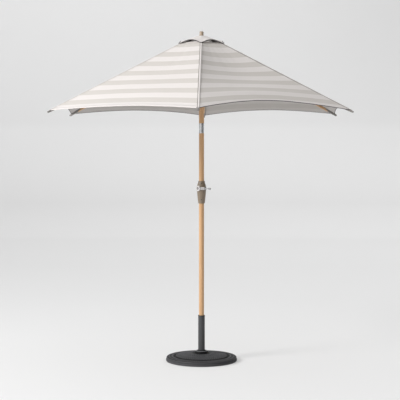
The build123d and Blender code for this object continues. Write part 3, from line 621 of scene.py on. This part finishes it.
def along_seam(azimuth, up, left):
    """Points down the seam, up above the ridge line and to its left."""
    seam = LENGTH - 0.006
    return [
        rib_place(azimuth, CLOTH_S0 + 0.004 + seam * k / SEAM_STEPS, up, left) for k in range(SEAM_STEPS + 1)
    ]


def pocket_ring(azimuth, s_at, half, low, high):
    """Rounded outline across the rib, s_at down it."""
    ring = []
    for k in range(20):
        w = 2 * pi * k / 20
        x = half * np.sign(cos(w)) * abs(cos(w)) ** 0.45
        t = (low + high) / 2 + (high - low) / 2 * np.sign(sin(w)) * abs(sin(w)) ** 0.45
        ring.append(rib_place(azimuth, s_at, t, x))
    return ring


# the sleeve on the rib's end, as (distance down the rib, half width, bottom, top): it covers the rib's
# sides, then closes round its end
POCKET = [
    (1.2350, 0.0070, -0.0085, -0.0028), (1.2354, 0.0092, -0.0096, -0.0018),
    (1.2390, 0.0096, -0.0108, -0.0016), (1.2560, 0.0098, -0.0150, -0.0016),
    (1.2680, 0.0100, -0.0182, -0.0016), (1.3150, 0.0100, -0.0160, -0.0016),
    (1.3400, 0.0096, -0.0148, -0.0016), (1.3490, 0.0086, -0.0138, -0.0022),
    (1.3540, 0.0060, -0.0120, -0.0040),
]
for i, azimuth in enumerate(AZIMUTHS):
    body = f"rib_{i + 1}"
    strip = canopy_piece(f"canopy_{i + 1}_ridge", strip_columns(i))
    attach(strip, body)
    for side, tag in ((1, "left"), (-1, "right")):
        half = canopy_piece(f"canopy_{i + 1}_{tag}", half_columns(i, side))
        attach(half, body)
        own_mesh(half)
    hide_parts(f"canopy_panel_{i + 1}")

    # piping along the seam, a dark line beside it that is painted shade from the piping's ridge, and the
    # pocket that holds the rib's end
    piping = tube(f"seam_piping_{i + 1}", along_seam(azimuth, -0.0002, 0.0014), 0.0058, cloth_plain, 12, 0.33)
    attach(piping, body)
    seam_shadow = tube(f"seam_shadow_line_{i + 1}", along_seam(azimuth, -0.0012, -0.0068), 0.0016, seam_shadow_paint, 8)
    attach(seam_shadow, body)
    rings = [pocket_ring(azimuth, *row) for row in POCKET]
    verts = [p for ring in rings for p in ring]
    faces = [
        (20 * r + k, 20 * r + (k + 1) % 20, 20 * r + 20 + (k + 1) % 20, 20 * r + 20 + k)
        for r in range(len(rings) - 1) for k in range(20)
    ]
    faces += [tuple(range(20)), tuple(20 * (len(rings) - 1) + k for k in range(20))]
    pocket = new_mesh(f"tip_pocket_{i + 1}", verts, faces, pocket_cloth)
    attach(pocket, body)


# ---------------------------------------------------------------- vent cap
VENT_R0, VENT_R1, VENT_R2 = 0.0135, 0.046, 0.192
VENT_Z0, VENT_Z1 = 2.4112, 2.4050
VENT_Z2 = APEX_Z - tan(SLOPE) * VENT_R2 + 0.0034


def vent_height(r):
    """Height of the vent's ridge over a rib at radius r."""
    if r <= VENT_R1:
        w = (r - VENT_R0) / (VENT_R1 - VENT_R0)
        return VENT_Z0 + (VENT_Z1 - VENT_Z0) * w
    w = (r - VENT_R1) / (VENT_R2 - VENT_R1)
    return VENT_Z1 + (VENT_Z2 - VENT_Z1) * w


def vent_point(gore, share, tau):
    """share runs from the top to the hem; tau from one rib (-1) to the next (1)."""
    r_end = VENT_R2 * (1 - 0.085 * (1 - tau * tau))
    r = VENT_R0 + (r_end - VENT_R0) * share
    angle = AZIMUTHS[gore] + radians(30) + atan(tau * tan(radians(30)))
    chord = r * cos(radians(30)) / cos(atan(tau * tan(radians(30))))
    lift = 0.021 * share**2.4 * (1 - tau * tau) ** 1.2
    lift += 0.0040 * share**6 * exp(-(((1 - abs(tau)) / 0.09) ** 2))  # a notch where the hem crosses a rib
    p = u_vec(angle) * chord
    p[2] = vent_height(r) + lift
    return p


def vent_shell():
    """The vent cap as one closed shell of cloth, with its tape round the hem."""
    rows, per = 22, 28
    top, bottom = [], []
    floats = {"weft": [], "warp": [], "edge": [], "along": []}
    for j in range(rows + 1):
        row_top, row_bottom = [], []
        share = j / rows
        for g in range(RIBS):
            for k in range(per):
                tau = -1 + 2 * k / per
                p = vent_point(g, share, tau)
                e = 1e-3
                if share < 0.5:
                    a = vent_point(g, share + e, tau) - p
                else:
                    a = p - vent_point(g, share - e, tau)
                b = vent_point(g, share, min(1, tau + e)) - vent_point(g, share, max(-1, tau - e))
                n = np.cross(a, b)
                n = n / np.linalg.norm(n)
                if n[2] < 0:
                    n = -n
                row_top.append(p)
                row_bottom.append(p - n * CLOTH_T)
                floats["weft"].append(share * VENT_R2)
                floats["warp"].append(tau * share * VENT_R2 / 2)
                floats["edge"].append((1 - share) * (VENT_R2 - VENT_R0))
                floats["along"].append((g + (tau + 1) / 2) * VENT_R2)
        top.append(row_top)
        bottom.append(row_bottom)
    cols = RIBS * per
    verts = [p for row in top for p in row] + [p for row in bottom for p in row]
    n = (rows + 1) * cols
    faces = []
    for r in range(rows):
        for c in range(cols):
            d = (c + 1) % cols
            a, b, e, f = r * cols + c, r * cols + d, (r + 1) * cols + c, (r + 1) * cols + d
            faces.append((a, e, f, b))
            faces.append((n + a, n + b, n + f, n + e))
    for c in range(cols):
        d = (c + 1) % cols
        faces.append((c, d, n + d, n + c))
        low = rows * cols
        faces.append((low + c, n + low + c, n + low + d, low + d))
    values = {k: v * 2 for k, v in floats.items()}
    values["under"] = [0.0] * n + [1.0] * n
    shell = new_mesh("vent_canopy", verts, faces, cloth_plain, values)
    hem = [(np.array(a) + np.array(b)) / 2 for a, b in zip(top[-1], bottom[-1])]
    add_binding(shell, hem, 0.0026, hem_tape_and_shade, closed=True)
    return shell


vent = vent_shell()
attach(vent, "upper")
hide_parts("vent_cap")

# ---------------------------------------------------------------- relief moulded on the base
disc = frame["nodes"]["base_disc"]
disc_tree = BVHTree.FromPolygons(
    [disc.matrix_world @ v.co for v in disc.data.vertices], [tuple(p.vertices) for p in disc.data.polygons]
)


def on_disc(x, y):
    """The disc's top surface under a point, and the direction off it."""
    hit, normal, _, _ = disc_tree.ray_cast(Vector((x, y, 0.3)), Vector((0, 0, -1)))
    return hit, (normal if normal.z > 0 else -normal)


def studs(name, rows, along, across, high):
    """Rings of low studs. rows lists (radius, count, first angle); a stud has four sloping sides."""
    verts, faces = [], []
    for radius, count, first in rows:
        for k in range(count):
            w = first + 2 * pi * k / count
            out, side = Vector((cos(w), sin(w), 0)), Vector((-sin(w), cos(w), 0))
            middle = out * radius
            start = len(verts)
            rim = [middle + side * along, middle + out * across, middle - side * along, middle - out * across]
            for share, lift in ((1.0, -0.0006), (0.45, high)):
                for corner in rim:
                    p = middle + (corner - middle) * share
                    hit, normal = on_disc(p.x, p.y)
                    verts.append(hit + normal * lift)
            for m in range(4):
                after = (m + 1) % 4
                faces.append((start + m, start + after, start + 4 + after, start + 4 + m))
            faces += [(start + 3, start + 2, start + 1, start), (start + 4, start + 5, start + 6, start + 7)]
    piece = new_mesh(name, verts, faces, stud_resin)
    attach(piece, "base")


lattice = []
for k in range(10):
    radius = 0.078 + 0.0118 * k
    count = 36 if radius < 0.12 else 56
    lattice.append((radius, count, 0.0 if k % 2 else pi / count))
studs("base_lattice", lattice, 0.0066, 0.0066, 0.0024)
studs("base_beads", [(0.218, 88, 0.0), (0.242, 88, 0.02)], 0.0064, 0.0080, 0.0022)

# ---------------------------------------------------------------- stage, light and camera
stage_mat = Nodes("stage_paint", (0.72, 0.72, 0.72), 0.9)
spot = stage_mat.add("ShaderNodeSeparateXYZ")
stage_mat.link(stage_mat.coords, spot.inputs[0])
near, far = STAGE[0][0], STAGE[-1][0]
back_up = stage_mat.math("ADD", spot.outputs["Y"], spot.outputs["Z"])
share = stage_mat.math("DIVIDE", stage_mat.math("SUBTRACT", back_up, near), far - near)
tone = stage_mat.ramp(share, [((at - near) / (far - near), (t, t, t)) for at, t in STAGE])
lift = 0.1  # a ramp holds no negative colours, so the lean is stored this much higher
lean = stage_mat.ramp(share, [((at - near) / (far - near), (v + lift,) * 3) for at, v in STAGE_RIGHT])
per_metre = stage_mat.math("SUBTRACT", lean, lift)
to_side = stage_mat.math("MINIMUM", spot.outputs["X"], STAGE_SIDE)
sideways = stage_mat.math("MAXIMUM", to_side, -STAGE_SIDE)
to_right = stage_mat.math("MULTIPLY_ADD", sideways, per_metre, 1.0)
scaled = stage_mat.add("ShaderNodeVectorMath", operation="SCALE")
stage_mat.link(tone, scaled.inputs[0])
stage_mat.link(to_right, scaled.inputs["Scale"])
# painted light: the floor's glow, strongest at the ground and fading out 2 m up
stage_mat.b.inputs["Emission Color"].default_value = (1, 1, 1, 1)
fade = stage_mat.add("ShaderNodeMapRange")
fade.inputs["From Min"].default_value, fade.inputs["From Max"].default_value = 0.0, 2.0
fade.inputs["To Min"].default_value, fade.inputs["To Max"].default_value = FLOOR_GLOW, 0.0
stage_mat.link(spot.outputs["Z"], fade.inputs["Value"])
stage_mat.link(fade.outputs[0], stage_mat.b.inputs["Emission Strength"])
stage_mat.color(stage_mat.mix(stage_mat.math("MULTIPLY", stage_mat.noise(0.5, 2.0), 0.04), scaled.outputs[0],
                              (0.60, 0.60, 0.60)))
depth, back, bend, half = 180.0, 11.5, 3.0, 120.0
profile = [(-depth, 0.0), (back, 0.0)]
profile += [(back + bend * sin(w), bend * (1 - cos(w))) for w in np.linspace(0, pi / 2, 24)[1:]]
profile += [(back + bend, 14.0)]
verts = [(x, y, z) for y, z in profile for x in (-half, half)]
faces = [(2 * k, 2 * k + 1, 2 * k + 3, 2 * k + 2) for k in range(len(profile) - 1)]
new_mesh("stage_sweep", verts, faces, stage_mat.m)


def area_light(name, at, to, size, power, color=(1, 1, 1)):
    light = bpy.data.lights.new(name, "AREA")
    light.shape, light.size, light.energy, light.color = "DISK", size, power, color
    obj = bpy.data.objects.new(name, light)
    obj.location = at
    obj.rotation_euler = (Vector(to) - Vector(at)).to_track_quat("-Z", "Y").to_euler()
    scene.collection.objects.link(obj)


for light in LIGHTS:
    area_light(*light)

# a white room whose front right side, low down, is dark: it rounds the pole and the chrome
world = bpy.data.worlds.new("studio")
scene.world = world
world.use_nodes = True
tree = world.node_tree
look = tree.nodes.new("ShaderNodeTexCoord")
parts_of = tree.nodes.new("ShaderNodeSeparateXYZ")
tree.links.new(look.outputs["Generated"], parts_of.inputs[0])


def world_math(op, first, second=0.0):
    node = tree.nodes.new("ShaderNodeMath")
    node.operation = op
    for socket, value in zip(node.inputs, (first, second)):
        if isinstance(value, (int, float)):
            socket.default_value = value
        else:
            tree.links.new(value, socket)
    return node.outputs[0]


turn = world_math("ARCTAN2", parts_of.outputs["X"], world_math("MULTIPLY", parts_of.outputs["Y"], -1.0))
turn = world_math("ADD", world_math("DIVIDE", turn, 2 * pi), 0.5)  # 0.5 is the front, more is to the right
around = tree.nodes.new("ShaderNodeValToRGB")
while len(around.color_ramp.elements) < len(ROOM):
    around.color_ramp.elements.new(0.5)
for element, (at, level) in zip(around.color_ramp.elements, ROOM):
    element.position, element.color = 0.5 + at / 360, (level, level, level, 1)
tree.links.new(turn, around.inputs[0])
rise = tree.nodes.new("ShaderNodeMapRange")
rise.inputs["From Min"].default_value, rise.inputs["From Max"].default_value = 0.35, 0.75
tree.links.new(parts_of.outputs["Z"], rise.inputs["Value"])
room = tree.nodes.new("ShaderNodeMix")
room.data_type = "RGBA"
tree.links.new(rise.outputs[0], room.inputs[0])
tree.links.new(around.outputs[0], room.inputs[6])
room.inputs[7].default_value = (CEILING, CEILING, CEILING, 1)
tree.links.new(room.outputs[2], tree.nodes["Background"].inputs["Color"])
tree.nodes["Background"].inputs["Strength"].default_value = 1.0
scene.view_settings.view_transform = "Standard"

camera = bpy.data.cameras.new("camera")
camera.lens = 107.154  # millimetres, on a sensor 36 wide
camera.sensor_width = 36.0
camera.clip_end = 100.0
camera_obj = bpy.data.objects.new("camera", camera)
camera_obj.location = (0.152, -8.814, 1.648)
camera_obj.rotation_euler = (radians(90 - 2.912), 0, radians(1.061))
scene.collection.objects.link(camera_obj)
scene.camera = camera_obj
